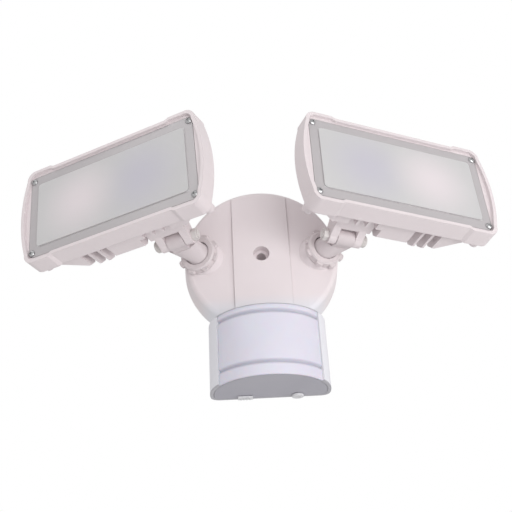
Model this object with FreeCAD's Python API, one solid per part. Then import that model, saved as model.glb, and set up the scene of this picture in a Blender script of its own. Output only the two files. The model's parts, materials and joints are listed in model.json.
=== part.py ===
import FreeCAD, Part

import math
import os

Vec = FreeCAD.Vector

# Motion sensor security light for an outside wall: two tilting LED heads on swivel arms, a round
# canopy that covers the wall box, and a wide sensor below it. Millimetres. The origin is the centre
# of the canopy's back on the wall. +X is to the right of someone who faces the light, +Y goes into
# the wall and +Z is up.

# ---- fits ----------------------------------------------------------------------------------------
FIT = 0.3                  # gap between pieces that lie close to each other
SEAT = 0.15                # gap under a piece that rests on another
TOUCH = 0.05               # gap under a piece that is screwed or soldered down

# ---- canopy --------------------------------------------------------------------------------------
CANOPY_R = 60.0            # back edge, covers a four inch round box
CANOPY_DRAFT = 1.2         # how much the skirt narrows towards the front
CANOPY_SKIRT = 19.0        # straight length of the skirt
CANOPY_DEPTH = 26.4        # wall to the crown of the front
CANOPY_SHOULDER = 4.6      # width of the round edge between skirt and front
CANOPY_EDGE_DROP = 3.4     # how far the front falls back from the crown to the round edge
CANOPY_WALL = 2.6
BAND_HALF_W = 21.6         # raised band down the middle of the front
BAND_PROUD = 1.5
BAND_ROOT = 10.0           # the band starts this far in front of the wall, inside the skirt
CENTRE_BORE_R = 3.5        # hole for the bolt that hangs the light on the wall box
CENTRE_HEAD_R = 6.0        # counterbore for that bolt's head
CENTRE_HEAD_DEPTH = 6.5
CENTRE_BOSS_R = 8.0

# ---- ball sockets and arms -----------------------------------------------------------------------
BALL_INSIDE = 13.2         # centre of the ball that an arm turns on, in from the canopy's edge
BALL_AHEAD = 0.6           # and ahead of the canopy's crown
BALL_X = CANOPY_R - BALL_INSIDE
BALL_Y = -CANOPY_DEPTH - BALL_AHEAD
BALL_Z = 0.4
SPLAY = 22.0               # how far a socket points away from straight ahead, degrees
BALL_R = 10.0
BALL_FIT = 0.08            # play of the ball in its seat
SOCKET_R = 14.0            # front edge of the cone that carries a socket
SOCKET_BASE_R = 17.6
SOCKET_LEN = 13.0
WIRE_WAY_R = 5.5           # way for the wires behind the ball
SOCKET_FACE = 1.2          # face that the ring screws down to, behind the ball's centre
COLLAR_R = 12.2            # threaded collar in front of that face
COLLAR_LEN = 4.2
RING_FIT = 0.1             # play of the ring on its thread
RING_FRONT = 5.2           # front of the locking ring, ahead of the ball's centre
RING_GAP = 0.3             # what is left behind the ring when it is tight
RING_MOUTH_R = 9.5         # the ring's front edge holds the ball in
RING_R = 13.8
LUG_R = 16.0
LUG_W = 5.4
LUG_BACK = 1.8             # lugs stop this far in front of the ring's back
LUGS = 8
LUG_ROUND = 1.7            # round outer edges of a lug
LUG_FRONT = 1.2            # lugs start this far behind the ring's front
RING_CHAMFER = 1.0
WIRE_BORE_R = 4.0
BELL_START = 5.4           # bell of the arm, from the ball's centre
BELL_R = 8.4
WIRE_BORE_END = 9.5        # end of the wires' way through the ball
SHOULDER_HALF_W = 12.0     # the arm widens to this just behind the ears of the head
SHOULDER_GAP = 0.8         # between that shoulder and the round ends of the ears
KNUCKLE_R = 6.3
KNUCKLE_HALF_W = 6.7
HINGE_OUT = 23.4           # tilt pin from the ball's centre: ahead,
HINGE_SIDE = 6.1           # sideways away from the middle of the light,
HINGE_UP = 3.3             # and up
# How each arm and head is set in the photograph, degrees: the arm's turn to the side, its turn
# upwards and its twist in the ball socket, and the head's tilt on its pin.
ARM_YAW = {"left": 24.4, "right": 19.5}
ARM_PITCH = {"left": -2.6, "right": 9.2}
ARM_TWIST = {"left": 4.4, "right": 3.2}
HEAD_TILT = {"left": 1.7, "right": -15.5}

# ---- lamp heads ----------------------------------------------------------------------------------
HEAD_HALF_L = 73.3         # at the corners
HEAD_BOW = 4.4             # how far each short end bows out
HEAD_HALF_H = 39.7         # along the middle of the long sides
PAD_PROUD = 1.5            # thicker corners
PAD_LEN = 23.8             # from a corner to where the proud part starts
PAD_START = HEAD_HALF_L - PAD_LEN
PAD_RAMP = 2.8
HEAD_CORNER = 8.0
RIM_FRONT = 2.2            # rim in front of the face of the lens flange
SIDE_DEPTH = 12.5          # from that face back to the rear wall of the pan
HEAD_FLARE = 0.7           # how much the pan widens towards its back
RIM_W = 2.6
LENS_INSET_L = 2.7         # from the head's outline to the edge of the lens flange
LENS_INSET_H = 3.8
LENS_HALF_L = HEAD_HALF_L - LENS_INSET_L
LENS_HALF_H = HEAD_HALF_H - LENS_INSET_H
LENS_CORNER = 4.5
LENS_FLANGE_T = 2.4
LENS_RAISED = 0.8          # the window stands this far in front of the flange
FLANGE_W_L = 7.0           # width of the flange at the ends of the window
FLANGE_W_H = 7.9           # and along its sides
WINDOW_HALF_L = LENS_HALF_L - FLANGE_W_L
WINDOW_HALF_H = LENS_HALF_H - FLANGE_W_H
WINDOW_CORNER = 3.0
WINDOW_WALL = 2.0          # wall round the hollow behind the window
WINDOW_T = 2.2             # thickness of the window itself
GASKET_T = 1.0
SCREW_IN_L = 2.75          # lens screws, in from the edge of the flange
SCREW_IN_H = 3.55
SCREW_U = LENS_HALF_L - SCREW_IN_L
SCREW_V = LENS_HALF_H - SCREW_IN_H
SCREW_HEAD_R = 2.6
SCREW_R = 1.5
SCREW_LEN = 12.0
SCREW_DOME_R = 3.2         # ball that the top of the screw head is part of
SCREW_DOME_BACK = 1.2      # and how far its centre lies behind the flange's face
CROSS_HALF_L = 1.3         # cross recess in that head
CROSS_HALF_W = 0.3
CROSS_FLOOR = 1.0          # height of its floor above the flange
SCREW_BOSS_R = 4.0
SCREW_BOSS_BACK = 9.0      # boss ends behind the rear wall
BODY_INSET_L = 13.3        # narrower body behind the pan
BODY_INSET_H = 5.7
BODY_HALF_L = HEAD_HALF_L - BODY_INSET_L
BODY_HALF_H = HEAD_HALF_H - BODY_INSET_H
BODY_CORNER = 6.0
BODY_TAPER = 3.0
BODY_BACK = 22.0
CAVITY_CORNER = 4.0
FLOOR_T = 2.6
BODY_WALL_L = 6.0          # thick walls, since the body narrows towards its back
BODY_WALL_H = 6.4
CAVITY_HALF_L = BODY_HALF_L - BODY_WALL_L
CAVITY_HALF_H = BODY_HALF_H - BODY_WALL_H

FIN_FIRST = 22.0
FIN_PITCH = 8.0
FINS_A_SIDE = 5
FIN_T = 2.4
FIN_TIP_T = 1.6
FIN_BACK = 37.5            # rear of the tall fins, from the face of the lens flange
FIN_INSET = 2.2            # from the head's outline to the ends of the fins
FIN_HALF_H = HEAD_HALF_H - FIN_INSET
FIN_CHAMFER = 5.0
SLOPE_PAST = 1.0           # the slope ends this far past the body, on the rear wall of the pan
SLOPE_LEN = 22.0           # outwards over this length the fins get shorter, down a straight line
SLOPE_END = BODY_HALF_L + SLOPE_PAST
SLOPE_START = SLOPE_END - SLOPE_LEN
SLOPE_BACK = 35.5          # height of the slope at its start
END_WALL_T = 3.0           # wall that joins the ends of the sloping fins
BLOCK_HALF_W = 15.0        # solid block between the two rows of fins
BLOCK_BACK = 34.0

HINGE_U = 29.0             # tilt pin from the head's middle, towards the middle of the light,
HINGE_BEHIND = 6.4         # behind the fins
HINGE_INSIDE = 6.9         # and in from the lower side of the head
HINGE_BACK = FIN_BACK + HINGE_BEHIND
HINGE_DOWN = HEAD_HALF_H - HINGE_INSIDE
EAR_R = 5.9
EAR_T = 6.0
EAR_ROOT_H = 16.0
EAR_ROOT_DEPTH = 6.0       # the ears' roots start this deep in the bracket
BRACKET_CHAMFER = 3.0
HINGE_ROOM = 4.0           # the fins leave out this much above the ears
BRACKET_GAP = 1.0          # between the knuckle and the block that carries the ears
BOLT_R = 2.5
BOLT_FIT = 0.08
BOLT_HEAD_R = 4.3
BOLT_HEAD_T = 5.0
BOLT_HEAD_ROUND = 1.2
BOLT_END = 0.8             # the bolt stands this far out of its nut
NUT_AF = 8.0
NUT_T = 4.0

# ---- light source --------------------------------------------------------------------------------
BOARD_T = 1.6
LED_BOARD_MARGIN = 4.0     # between the board and the wall of the cavity
LED_BOARD_HALF_L = CAVITY_HALF_L - LED_BOARD_MARGIN
LED_BOARD_HALF_H = CAVITY_HALF_H - LED_BOARD_MARGIN
REFLECTOR_T = 1.2
CUP_HALF_L = (CAVITY_HALF_L - FIT - 1.5 * REFLECTOR_T) / 2    # mouth of one reflector cup
CUP_U = CUP_HALF_L + REFLECTOR_T / 2
CUP_FLOOR = 7.5
LED_HALF = 6.0
LED_T = 1.0

# ---- sensor --------------------------------------------------------------------------------------
SENSOR_R = 40.4
SENSOR_Y = -45.7           # axis of its round front
SENSOR_BACK_Y = -35.0      # flat back
SENSOR_CORNER = 6.0
SENSOR_TOP = -67.5
SENSOR_BOTTOM = -115.3
POST_X = 18.0              # posts that carry the sensor's board
SENSOR_WALL = 2.4
HOOD_TOP = -48.0
HOOD_R = 24.0              # top outline of the hood, where it meets the canopy
HOOD_Y = -12.0
HOOD_BACK_Y = -8.0
HOOD_CORNER = 9.0
LENS_ANGLE = 58.0          # the sensor's lens covers this much to each side, degrees
PIR_LENS_RECESS = 0.8
PIR_LENS_T = 1.4
GROOVE_BELOW_TOP = 4.7
GROOVE_ABOVE_BOTTOM = 8.7
GROOVE_UPPER = SENSOR_TOP - GROOVE_BELOW_TOP
GROOVE_LOWER = SENSOR_BOTTOM + GROOVE_ABOVE_BOTTOM
GROOVE_W = 2.4
GROOVE_DEPTH = 0.5
COVER_T = 2.2
COVER_FIT = 0.2            # between the cover and the case round it
COVER_POST_X = 26.0        # posts on the cover that carry the board of the controls
COVER_POST_Y = -50.0
LEDGE_T = 2.0              # ledge inside the case that the cover is pushed up against
LEDGE_W = 1.6
LEDGE_FRONT = 8.0          # the ledge reaches this far in front of the axis of the round front
PIR_BOARD_Y = -52.0
PIR_Z = -90.0
POST_R = 2.6
LEDGE_GAP_X = 27.0         # the ledge for the bottom cover leaves out the middle, for the controls
SWITCH_X = -17.0
SWITCH_Y = -40.4
SWITCH_TRAVEL = 3.0
PAD_HALF_L = 5.0           # finger pad of the slider
PAD_HALF_H = 2.6
PAD_T = 1.1
RIB_PLACES = (-3.0, -1.0, 1.0, 3.0)
RIB_HALF_W = 0.4
RIB_HALF_H = 2.2
RIB_PROUD = 0.4
FOOT_HALF_W = 1.2          # foot of the slider
FOOT_HALF_H = 1.1
FOOT_ROOM = 0.4            # above and below the foot in its slot
SHAFT_RISE = 2.6           # the foot and the dial's shaft go this far into the controls
CONTROL_GAP = 0.4          # between the cover and the controls above it
SWITCH_ROOM = 3.2          # depth of the room for the foot in the switch
POT_ROOM = 3.0             # and for the shaft in the potentiometer
SWITCH_WALL = 3.0          # from the end of the slider's travel to the end of the switch
SWITCH_HALF_H = 2.6
DIAL_X = 18.2
DIAL_Y = -40.4
DIAL_R = 4.0
DIAL_T = 1.5
DIAL_SLOT_HALF_L = 3.0     # slot for a screwdriver
DIAL_SLOT_HALF_W = 0.45
DIAL_SLOT_DEPTH = 0.8
POT_HALF_W = 4.5           # case of the potentiometer
POT_HALF_H = 2.9
DIAL_SHAFT_R = 2.0
DIAL_SHAFT_FIT = 0.08
CONTROL_ROOM = 9.5         # from the bottom cover up to the little board above the controls
CONTROL_Z = SENSOR_BOTTOM + COVER_T + CONTROL_ROOM
CONTROL_BOARD_HALF_W = 30.0
CONTROL_BOARD_FRONT = -56.0
PIR_BOARD_HALF_W = 28.0
PIR_BOARD_DROP = 5.0       # from the top of the sensor to the top of its board
PIR_BOARD_TOP = SENSOR_TOP - PIR_BOARD_DROP
CAN_R = 4.1                # can of the heat detector
CAN_LEN = 4.2
CAN_FLANGE_R = 4.6
CAN_FLANGE_T = 0.6
CAN_WINDOW_HALF_W = 2.0
CAN_WINDOW_HALF_H = 1.5
CAN_WINDOW_DEPTH = 0.3

# ---- back of the canopy --------------------------------------------------------------------------
TRAY_T = 2.0
TRAY_Y = -5.6              # front face of the tray
TRAY_BOSS_R = 4.0
TRAY_BOSS_FRONT = 4.0      # a boss ends this far behind the canopy's crown, inside its wall
TRAY_DRAFT = 0.2           # the skirt's inside narrows this much down to the tray
TRAY_R = CANOPY_R - CANOPY_WALL - FIT - TRAY_DRAFT
PILOT_R = 1.3
PILOT_LEN = 10.0
TRAY_HOLE_R = 1.7
TRAY_SCREW_R = 1.25
TRAY_SCREW_LEN = 9.0
TRAY_SCREW_HEAD_R = 3.2
TRAY_SCREW_HEAD_T = 1.8
GASKET_W = 7.5
TRAY_SCREW_IN = 4.057      # from the seal's inner edge to the ring that the tray screws stand on
TRAY_SCREW_RING = TRAY_R - GASKET_W - TRAY_SCREW_IN
TRAY_SCREW_X = 34.0
TRAY_SCREW_Z = math.sqrt(TRAY_SCREW_RING ** 2 - TRAY_SCREW_X ** 2)
GROMMET_R = 7.0
GROMMET_Z = -22.0
GROMMET_LIP = 1.6          # rims of the bush, both how far they reach over the hole and how thick
GROMMET_BORE_R = 3.4
GROMMET_FIT = 0.1
DRIVER_POST_X = 18.0
DRIVER_POST_LOW = 4.0      # posts, from the board's lower edge
DRIVER_POST_HIGH = 8.0     # and from its upper edge
DRIVER_HALF_W = 23.0
DRIVER_LOW = 12.5
DRIVER_HIGH = 48.0
DRIVER_GAP = 2.6           # between tray and board
TRANSFORMER_X = -8.0
TRANSFORMER_Z = 29.0
TRANSFORMER_T = 11.0
CORE_HALF = 9.0
CORE_STEP = 1.5            # the coil stands out of the core this far
COIL_HALF_W = 7.0
COIL_HALF_H = 6.5
CAPACITOR_T = 11.5
CAPACITORS = ((4.0, 8.0, 34.0, 0.0), (3.0, 17.0, 37.0, 2.0))    # radius, x, z, how much shorter
RELAY_T = 10.0
RELAY_X = 13.0
RELAY_Z = 21.0
RELAY_HALF_W = 8.0
RELAY_HALF_H = 5.0


def save(name, shape):
    """Writes one sub-part and says how many solids it has."""
    shape.exportStep("parts/" + name + ".step")
    print(name, len(shape.Solids), round(shape.Volume, 1), shape.isValid())


def box(x0, x1, y0, y1, z0, z1):
    return Part.makeBox(x1 - x0, y1 - y0, z1 - z0, Vec(x0, y0, z0))


def rod(radius, start, end):
    """A round bar between two points."""
    way = Vec(*end) - Vec(*start)
    return Part.makeCylinder(radius, way.Length, Vec(*start), way)


def tube(outer, inner, start, end):
    return rod(outer, start, end).cut(rod(inner, start, end))


def fused(shapes):
    return shapes[0].multiFuse(shapes[1:]).removeSplitter()


def arc(a, b, c):
    return Part.Arc(Vec(*a), Vec(*b), Vec(*c)).toShape()


def line(a, b):
    return Part.makeLine(Vec(*a), Vec(*b))


def prism(edges, way):
    """Pushes the closed outline of these edges along a vector."""
    return Part.Face(Part.Wire(edges)).extrude(Vec(*way))


def polygon(points, way):
    ends = points[1:] + points[:1]
    return prism([line(a, b) for a, b in zip(points, ends)], way)


# ---- canopy --------------------------------------------------------------------------------------

def canopy_turned(inset, proud):
    """The canopy's round body, smaller all round by inset and higher in front by proud."""
    back_r = CANOPY_R - inset
    front_r = CANOPY_R - CANOPY_DRAFT - inset
    skirt_y = -CANOPY_SKIRT + inset * 0.4
    crown_y = -CANOPY_DEPTH + inset - proud
    edge_r = front_r - CANOPY_SHOULDER
    edge_y = crown_y + CANOPY_EDGE_DROP
    middle_r = edge_r / 2
    middle_y = crown_y + CANOPY_EDGE_DROP * 0.25
    bend = 0.3
    corner_r = front_r - CANOPY_SHOULDER * bend
    corner_y = edge_y + (skirt_y - edge_y) * bend
    edges = [
        line((0, 0, 0), (back_r, 0, 0)),
        line((back_r, 0, 0), (front_r, skirt_y, 0)),
        arc((front_r, skirt_y, 0), (corner_r, corner_y, 0), (edge_r, edge_y, 0)),
        arc((edge_r, edge_y, 0), (middle_r, middle_y, 0), (0, crown_y, 0)),
        line((0, crown_y, 0), (0, 0, 0)),
    ]
    return Part.Face(Part.Wire(edges)).revolve(Vec(0, 0, 0), Vec(0, 1, 0), 360)


def d_edges(radius, centre_y, back_y, corner, z):
    """A round front with a flat back and round back corners, seen from above."""
    drop = back_y - corner - centre_y
    reach = radius - corner
    corner_x = math.sqrt(reach * reach - drop * drop)
    touch = Vec(corner_x, drop, 0) * (radius / reach)
    half = Vec(touch.x, touch.y, 0).normalize() + Vec(0, 1, 0)
    half.normalize()
    corner_y = back_y - corner
    mid = (corner_x + corner * half.x, corner_y + corner * half.y, z)
    mid_left = (-mid[0], mid[1], z)
    right = (touch.x, centre_y + touch.y, z)
    left = (-touch.x, centre_y + touch.y, z)
    back_right = (corner_x, back_y, z)
    back_left = (-corner_x, back_y, z)
    return [
        arc(left, (0, centre_y - radius, z), right),
        arc(right, mid, back_right),
        line(back_right, back_left),
        arc(back_left, mid_left, left),
    ]


def sensor_outline(inset, z):
    return d_edges(SENSOR_R - inset, SENSOR_Y, SENSOR_BACK_Y - inset, SENSOR_CORNER - inset, z)


def hood_outline(inset, z):
    return d_edges(HOOD_R - inset, HOOD_Y, HOOD_BACK_Y - inset, HOOD_CORNER - inset, z)


def sensor_body(inset, low, top):
    """The sensor's case and the hood that leads from it up into the canopy."""
    case = prism(sensor_outline(inset, low), (0, 0, SENSOR_TOP - low))
    wires = [Part.Wire(sensor_outline(inset, SENSOR_TOP)), Part.Wire(hood_outline(inset, top))]
    return case.fuse(Part.makeLoft(wires, True, True))


def sector(outer, inner, half_angle, low, high):
    """Part of a ring about the axis of the sensor's front, open by half_angle to each side."""
    def at(radius, degrees):
        turn = math.radians(degrees)
        return (radius * math.sin(turn), SENSOR_Y - radius * math.cos(turn), low)
    edges = [
        arc(at(outer, -half_angle), at(outer, 0), at(outer, half_angle)),
        line(at(outer, half_angle), at(inner, half_angle)),
        arc(at(inner, half_angle), at(inner, 0), at(inner, -half_angle)),
        line(at(inner, -half_angle), at(outer, -half_angle)),
    ]
    return prism(edges, (0, 0, high - low))


def on_side(shape, side):
    return shape if side == "right" else shape.mirror(Vec(0, 0, 0), Vec(1, 0, 0))


def to_socket(shape, side):
    """Carries a piece from a socket's own frame, whose origin is the ball's centre."""
    piece = shape.copy()
    piece.rotate(Vec(0, 0, 0), Vec(0, 0, 1), SPLAY)
    piece.translate(Vec(BALL_X, BALL_Y, BALL_Z))
    return on_side(piece, side)


def to_arm(shape, side):
    """Carries a piece from an arm's own frame to where the photograph shows it."""
    piece = shape.copy()
    piece.rotate(Vec(0, 0, 0), Vec(0, 1, 0), ARM_TWIST[side])
    piece.rotate(Vec(0, 0, 0), Vec(1, 0, 0), ARM_PITCH[side])
    piece.rotate(Vec(0, 0, 0), Vec(0, 0, 1), ARM_YAW[side])
    piece.translate(Vec(BALL_X, BALL_Y, BALL_Z))
    return on_side(piece, side)


def both_sides(shape):
    return [to_socket(shape, side) for side in ("left", "right")]


def socket_cone():
    """Cone that stands out of the canopy and carries the ball's seat and the ring's collar."""
    cone = Part.makeCone(SOCKET_R, SOCKET_BASE_R, SOCKET_LEN, Vec(0, SOCKET_FACE, 0), Vec(0, 1, 0))
    return cone.fuse(rod(COLLAR_R, (0, SOCKET_FACE + 1, 0), (0, SOCKET_FACE - COLLAR_LEN, 0)))


def socket_room():
    """What is taken out of that cone: the ball's seat and the way for the wires behind it."""
    seat = Part.makeSphere(BALL_R + BALL_FIT, Vec(0, 0, 0))
    mouth = rod(BALL_R + BALL_FIT, (0, 0, 0), (0, -20, 0))
    return seat.fuse([mouth, rod(WIRE_WAY_R, (0, 0, 0), (0, SOCKET_LEN + 8, 0))])


def tray_screw_places():
    return [(x, z) for x in (-TRAY_SCREW_X, TRAY_SCREW_X) for z in (-TRAY_SCREW_Z, TRAY_SCREW_Z)]


def canopy_housing():
    past_front = -CANOPY_DEPTH - BAND_PROUD - 1
    band = canopy_turned(CANOPY_DRAFT / 2, BAND_PROUD + CANOPY_DRAFT / 2)
    band = band.common(box(-BAND_HALF_W, BAND_HALF_W, past_front, -BAND_ROOT,
                           -CANOPY_R, CANOPY_R))
    body = fused([canopy_turned(0, 0), band, sensor_body(0, SENSOR_BOTTOM, HOOD_TOP)])
    ring_room = rod(RING_R + FIT, (0, SOCKET_FACE, 0), (0, -RING_FRONT, 0))
    outer = fused([body.cut(both_sides(ring_room))] + both_sides(socket_cone()))
    hollow = canopy_turned(CANOPY_WALL, 0).fuse(
        sensor_body(SENSOR_WALL, SENSOR_BOTTOM - 1, HOOD_TOP - SENSOR_WALL))
    shell = outer.cut(hollow)
    front_y = -CANOPY_DEPTH + CANOPY_WALL / 2
    bosses = [rod(CENTRE_BOSS_R, (0, front_y, 0), (0, 0, 0))]
    bosses += both_sides(socket_cone())
    for x, z in tray_screw_places():
        bosses.append(rod(TRAY_BOSS_R, (x, TRAY_Y - SEAT, z), (x, -CANOPY_DEPTH + TRAY_BOSS_FRONT, z)))
    back_in = SENSOR_BACK_Y - SENSOR_WALL / 2
    for x in (-POST_X, POST_X):
        bosses.append(rod(POST_R, (x, back_in, PIR_Z), (x, PIR_BOARD_Y + BOARD_T + SEAT, PIR_Z)))
    ledge_top = SENSOR_BOTTOM + COVER_T + SEAT
    ledge = prism(sensor_outline(SENSOR_WALL / 2, ledge_top), (0, 0, LEDGE_T))
    ledge = ledge.cut(prism(sensor_outline(SENSOR_WALL + LEDGE_W, ledge_top - 1),
                            (0, 0, LEDGE_T + 2)))
    ledge = ledge.cut([
        box(-SENSOR_R, SENSOR_R, -90, SENSOR_Y - LEDGE_FRONT, ledge_top - 1, ledge_top + 4),
        box(-LEDGE_GAP_X, LEDGE_GAP_X, SENSOR_Y, 0, ledge_top - 1, ledge_top + 4)])
    shell = fused([shell, ledge] + bosses)
    cuts = [
        rod(CENTRE_BORE_R, (0, past_front, 0), (0, 1, 0)),
        rod(CENTRE_HEAD_R, (0, past_front, 0), (0, -CANOPY_DEPTH - BAND_PROUD + CENTRE_HEAD_DEPTH, 0)),
        sector(SENSOR_R + 5, SENSOR_R - SENSOR_WALL - 2, LENS_ANGLE, SENSOR_BOTTOM - 1, SENSOR_TOP),
    ]
    cuts += both_sides(socket_room())
    for x, z in tray_screw_places():
        cuts.append(rod(PILOT_R, (x, TRAY_Y - SEAT + 1, z), (x, TRAY_Y - PILOT_LEN, z)))
    return shell.cut(cuts)


# ---- pieces behind and inside the canopy ---------------------------------------------------------

def wiring_tray():
    """Plate that closes the canopy's back, with the posts that carry the driver board."""
    plate = rod(TRAY_R, (0, TRAY_Y, 0), (0, TRAY_Y + TRAY_T, 0))
    posts = []
    for x in (-DRIVER_POST_X, DRIVER_POST_X):
        for z in (DRIVER_LOW + DRIVER_POST_LOW, DRIVER_HIGH - DRIVER_POST_HIGH):
            posts.append(rod(POST_R, (x, TRAY_Y + 0.5, z), (x, TRAY_Y - DRIVER_GAP, z)))
    plate = fused([plate] + posts)
    cuts = [rod(CENTRE_BOSS_R + FIT, (0, -20, 0), (0, 5, 0))]
    hole = GROMMET_R - GROMMET_LIP + GROMMET_FIT
    cuts.append(rod(hole, (0, -20, GROMMET_Z), (0, 5, GROMMET_Z)))
    for x, z in tray_screw_places():
        cuts.append(rod(TRAY_HOLE_R, (x, -20, z), (x, 5, z)))
    return plate.cut(cuts)


def tray_screws():
    pieces = []
    for x, z in tray_screw_places():
        back = TRAY_Y + TRAY_T
        head = rod(TRAY_SCREW_HEAD_R, (x, back + TOUCH, z), (x, back + TRAY_SCREW_HEAD_T, z))
        shank = rod(TRAY_SCREW_R, (x, back + 0.5, z), (x, back - TRAY_SCREW_LEN, z))
        pieces.append(head.fuse(shank))
    return Part.makeCompound(pieces)


def wall_gasket():
    return tube(TRAY_R, TRAY_R - GASKET_W, (0, TRAY_Y + TRAY_T + TOUCH, 0), (0, 0, 0))


def wire_grommet():
    """Rubber bush with a groove that grips the edge of the tray's hole."""
    y0 = TRAY_Y - GROMMET_LIP
    y1 = TRAY_Y + TRAY_T + GROMMET_LIP
    bush = rod(GROMMET_R, (0, y0, GROMMET_Z), (0, y1, GROMMET_Z))
    groove = tube(GROMMET_R + 1, GROMMET_R - GROMMET_LIP, (0, TRAY_Y - TOUCH, GROMMET_Z),
                  (0, TRAY_Y + TRAY_T + TOUCH, GROMMET_Z))
    return bush.cut([groove, rod(GROMMET_BORE_R, (0, -20, GROMMET_Z), (0, 5, GROMMET_Z))])


def driver_board():
    y = TRAY_Y - DRIVER_GAP - TOUCH
    return box(-DRIVER_HALF_W, DRIVER_HALF_W, y - BOARD_T, y, DRIVER_LOW, DRIVER_HIGH)


def on_driver_board(height):
    """Front of the board and the front of a component of this height."""
    y = TRAY_Y - DRIVER_GAP - TOUCH - BOARD_T - TOUCH
    return y - height, y


def driver_transformer():
    y0, y1 = on_driver_board(TRANSFORMER_T)
    x, z = TRANSFORMER_X, TRANSFORMER_Z
    core = box(x - CORE_HALF, x + CORE_HALF, y0 + CORE_STEP, y1, z - CORE_HALF, z + CORE_HALF)
    coil = box(x - COIL_HALF_W, x + COIL_HALF_W, y0, y1 - 1, z - COIL_HALF_H, z + COIL_HALF_H)
    return core.fuse(coil)


def driver_capacitors():
    y0, y1 = on_driver_board(CAPACITOR_T)
    return Part.makeCompound([
        rod(radius, (x, y1, z), (x, y0 + shorter, z)) for radius, x, z, shorter in CAPACITORS])


def relay():
    y0, y1 = on_driver_board(RELAY_T)
    return box(RELAY_X - RELAY_HALF_W, RELAY_X + RELAY_HALF_W, y0, y1,
               RELAY_Z - RELAY_HALF_H, RELAY_Z + RELAY_HALF_H)


# ---- sensor --------------------------------------------------------------------------------------

def sensor_lens():
    """Curved lens of the sensor with a groove near its top and its bottom."""
    outer = SENSOR_R - PIR_LENS_RECESS
    angle = LENS_ANGLE - math.degrees(SEAT / SENSOR_R)
    low = SENSOR_BOTTOM + 0.1
    high = SENSOR_TOP - SEAT
    lens = sector(outer, outer - PIR_LENS_T, angle, low, high)
    for z in (GROOVE_UPPER, GROOVE_LOWER):
        lens = lens.cut(sector(outer + 1, outer - GROOVE_DEPTH, angle + 2,
                               z - GROOVE_W / 2, z + GROOVE_W / 2))
    return lens


def foot_room(low, high):
    """The room that the slider's foot needs over its travel."""
    half_w = SWITCH_TRAVEL + FOOT_HALF_W + FIT
    half_h = FOOT_HALF_H + FOOT_ROOM
    return box(SWITCH_X - half_w, SWITCH_X + half_w, SWITCH_Y - half_h, SWITCH_Y + half_h, low, high)


def sensor_bottom_cover():
    wall = max(PIR_LENS_RECESS + PIR_LENS_T, SENSOR_WALL) + COVER_FIT
    plate = prism(sensor_outline(wall, SENSOR_BOTTOM), (0, 0, COVER_T))
    posts = []
    for x in (-COVER_POST_X, COVER_POST_X):
        posts.append(rod(POST_R, (x, COVER_POST_Y, SENSOR_BOTTOM + 1),
                         (x, COVER_POST_Y, CONTROL_Z - SEAT)))
    plate = fused([plate] + posts)
    low = SENSOR_BOTTOM - 1
    high = SENSOR_BOTTOM + COVER_T + 1
    slot = foot_room(low, high)
    hole = rod(DIAL_SHAFT_R + FIT, (DIAL_X, DIAL_Y, low), (DIAL_X, DIAL_Y, high))
    return plate.cut([slot, hole])


def time_switch():
    """Slider with a finger pad below the cover and a foot that goes up into the switch."""
    top = SENSOR_BOTTOM - FIT
    under = top - PAD_T
    pad = box(SWITCH_X - PAD_HALF_L, SWITCH_X + PAD_HALF_L,
              SWITCH_Y - PAD_HALF_H, SWITCH_Y + PAD_HALF_H, under, top)
    ribs = [box(SWITCH_X + x - RIB_HALF_W, SWITCH_X + x + RIB_HALF_W,
                SWITCH_Y - RIB_HALF_H, SWITCH_Y + RIB_HALF_H,
                under - RIB_PROUD, under + 0.1) for x in RIB_PLACES]
    foot = box(SWITCH_X - FOOT_HALF_W, SWITCH_X + FOOT_HALF_W,
               SWITCH_Y - FOOT_HALF_H, SWITCH_Y + FOOT_HALF_H,
               top - 0.2, SENSOR_BOTTOM + COVER_T + SHAFT_RISE)
    return fused([pad, foot] + ribs)


def range_dial():
    """Round dial with a slot for a screwdriver and a shaft up to the potentiometer."""
    top = SENSOR_BOTTOM - FIT
    under = top - DIAL_T
    knob = rod(DIAL_R, (DIAL_X, DIAL_Y, under), (DIAL_X, DIAL_Y, top))
    shaft = rod(DIAL_SHAFT_R, (DIAL_X, DIAL_Y, top - 0.2),
                (DIAL_X, DIAL_Y, SENSOR_BOTTOM + COVER_T + SHAFT_RISE))
    slot = box(DIAL_X - DIAL_SLOT_HALF_L, DIAL_X + DIAL_SLOT_HALF_L,
               DIAL_Y - DIAL_SLOT_HALF_W, DIAL_Y + DIAL_SLOT_HALF_W,
               under - 1, under + DIAL_SLOT_DEPTH)
    return knob.fuse(shaft).cut(slot)


def control_foot():
    """Underside of the switch and the potentiometer."""
    return SENSOR_BOTTOM + COVER_T + CONTROL_GAP


def switch_body():
    """Slide switch above the cover, open below where the slider's foot runs."""
    low = control_foot()
    half_w = SWITCH_TRAVEL + SWITCH_WALL
    body = box(SWITCH_X - half_w, SWITCH_X + half_w,
               SWITCH_Y - SWITCH_HALF_H, SWITCH_Y + SWITCH_HALF_H, low, CONTROL_Z - TOUCH)
    return body.cut(foot_room(low - 1, low + SWITCH_ROOM))


def potentiometer():
    low = control_foot()
    body = box(DIAL_X - POT_HALF_W, DIAL_X + POT_HALF_W,
               DIAL_Y - POT_HALF_H, DIAL_Y + POT_HALF_H, low, CONTROL_Z - TOUCH)
    hole = DIAL_SHAFT_R + DIAL_SHAFT_FIT
    return body.cut(rod(hole, (DIAL_X, DIAL_Y, low - 1), (DIAL_X, DIAL_Y, low + POT_ROOM)))


def control_board():
    return box(-CONTROL_BOARD_HALF_W, CONTROL_BOARD_HALF_W,
               CONTROL_BOARD_FRONT, SENSOR_BACK_Y - SENSOR_WALL - CONTROL_GAP,
               CONTROL_Z, CONTROL_Z + BOARD_T)


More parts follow.
